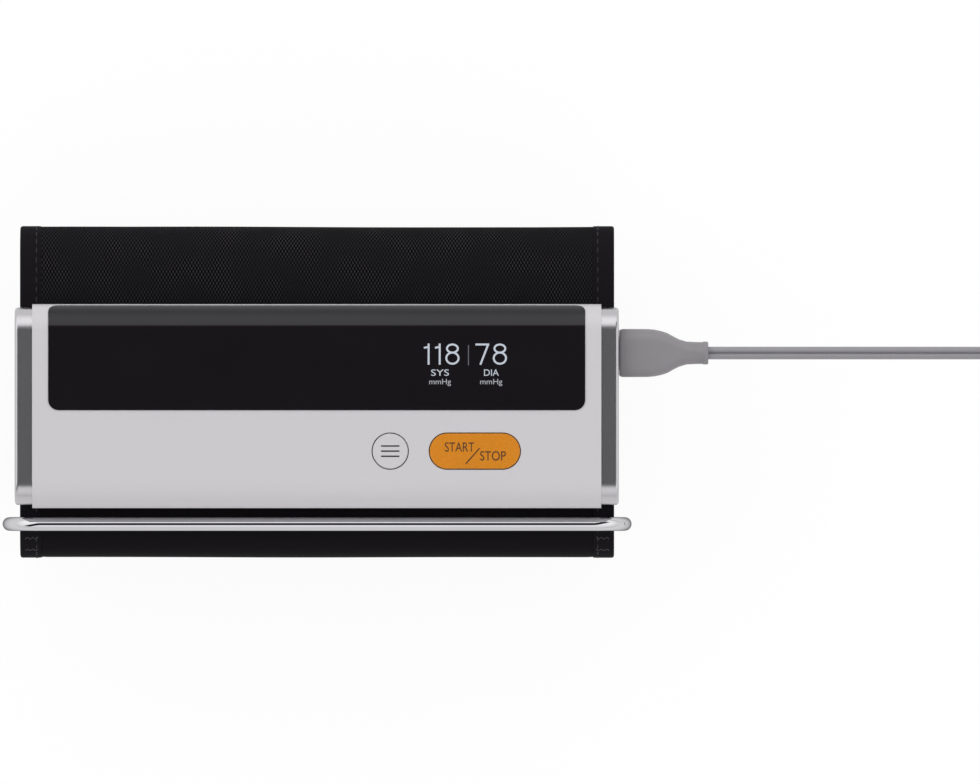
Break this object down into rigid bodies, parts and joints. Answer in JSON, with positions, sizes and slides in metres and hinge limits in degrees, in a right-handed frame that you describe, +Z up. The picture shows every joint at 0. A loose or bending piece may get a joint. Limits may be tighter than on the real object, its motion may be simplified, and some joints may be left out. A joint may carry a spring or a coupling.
{
  "type": "upper arm blood pressure monitor",
  "caption": "Cordless upper arm blood pressure monitor: pale housing with dark display window and push buttons on a black cuff loop with a chrome ring and a plugged-in charging lead.",
  "frame": {"origin": "on the table under the middle of the cuff, the bottom centre of the object without its charging lead", "axes": "+X along the arm, towards the charging port; +Y towards the display's upper edge; +Z up from the table, out of the display"},
  "size_m": [0.3405, 0.1057, 0.0682],
  "materials": {
    "panel_plastic": "satin moulded ABS",
    "rear_plastic": "satin moulded ABS",
    "cap_metal": "polished",
    "window_acrylic": "smoked acrylic, polished",
    "orange_plastic": "glossy",
    "inner_plastic": "moulded",
    "stiffener_plastic": "sheet polypropylene",
    "board_laminate": "solder resist",
    "pump_steel": "plated",
    "battery_case": "foil",
    "connector_plate": "nickel plated",
    "silicone": "translucent",
    "bladder_rubber": "matt",
    "spacer_mesh": "knitted spacer mesh",
    "lining_cloth": "smooth nylon",
    "strap_cloth": "laminated nylon",
    "ribbon": "woven ribbon",
    "ring_chrome": "mirror",
    "cable_jacket": "satin",
    "tie_rubber": "matt"
  },
  "bodies": {
    "monitor": {"front_cover": "panel_plastic", "rear_cover": "rear_plastic", "end_cap_left": "cap_metal", "end_cap_right": "cap_metal", "display_window": "window_acrylic", "display_module": "inner_plastic", "switch_bodies": "inner_plastic", "main_board": "board_laminate", "board_parts": "inner_plastic", "pressure_sensor": "inner_plastic", "air_pump": "pump_steel", "bleed_valve": "inner_plastic", "air_manifold": "inner_plastic", "air_nipple": "inner_plastic", "pump_hose": "silicone", "valve_hose": "silicone", "sensor_hose": "silicone", "battery": "battery_case", "housing_screws": "pump_steel", "board_screws": "pump_steel", "mount_screws": "pump_steel", "usb_socket_shell": "connector_plate", "usb_socket_tongue": "inner_plastic", "cuff_outer_fabric": "spacer_mesh", "cuff_stiffener": "stiffener_plastic", "mounting_plate": "stiffener_plastic", "air_bladder": "bladder_rubber", "cuff_lining": "lining_cloth", "edge_binding_left": "ribbon", "edge_binding_right": "ribbon", "closing_strap": "strap_cloth", "strap_binding_left": "ribbon", "strap_binding_right": "ribbon", "hook_patch": "strap_cloth", "ring_sleeve": "ribbon"},
    "ring": {"d_ring": "ring_chrome"},
    "menu_key": {"menu_button": "panel_plastic", "menu_plunger": "inner_plastic"},
    "start_key": {"start_button": "orange_plastic", "start_plunger": "inner_plastic"},
    "charging_lead": {"usb_plug_shell": "connector_plate", "usb_plug_boot": "cable_jacket", "charging_cable": "cable_jacket", "cable_coil": "cable_jacket", "cable_tail": "cable_jacket", "cable_tie": "tie_rubber", "charger_plug_body": "cable_jacket", "charger_plug_shell": "connector_plate", "charger_plug_tongue": "inner_plastic"}
  },
  "joints": [
    {"name": "ring_swing", "type": "hinge", "parent": "monitor", "child": "ring", "pos_m": [0, -0.0322, 0.0417], "axis": [1, 0, 0], "range_deg": [-7, 85]},
    {"name": "menu_press", "type": "slide", "parent": "monitor", "child": "menu_key", "axis": [0, 0, -1], "range_m": [0, 0.0005], "stiffness_N_per_m": 1500, "springref_m": -0.0004},
    {"name": "start_press", "type": "slide", "parent": "monitor", "child": "start_key", "axis": [0, 0, -1], "range_m": [0, 0.0005], "stiffness_N_per_m": 1500, "springref_m": -0.0004},
    {"name": "plug_pull", "type": "slide", "parent": "monitor", "child": "charging_lead", "axis": [1, 0, 0], "range_m": [0, 0.008]}
  ]
}
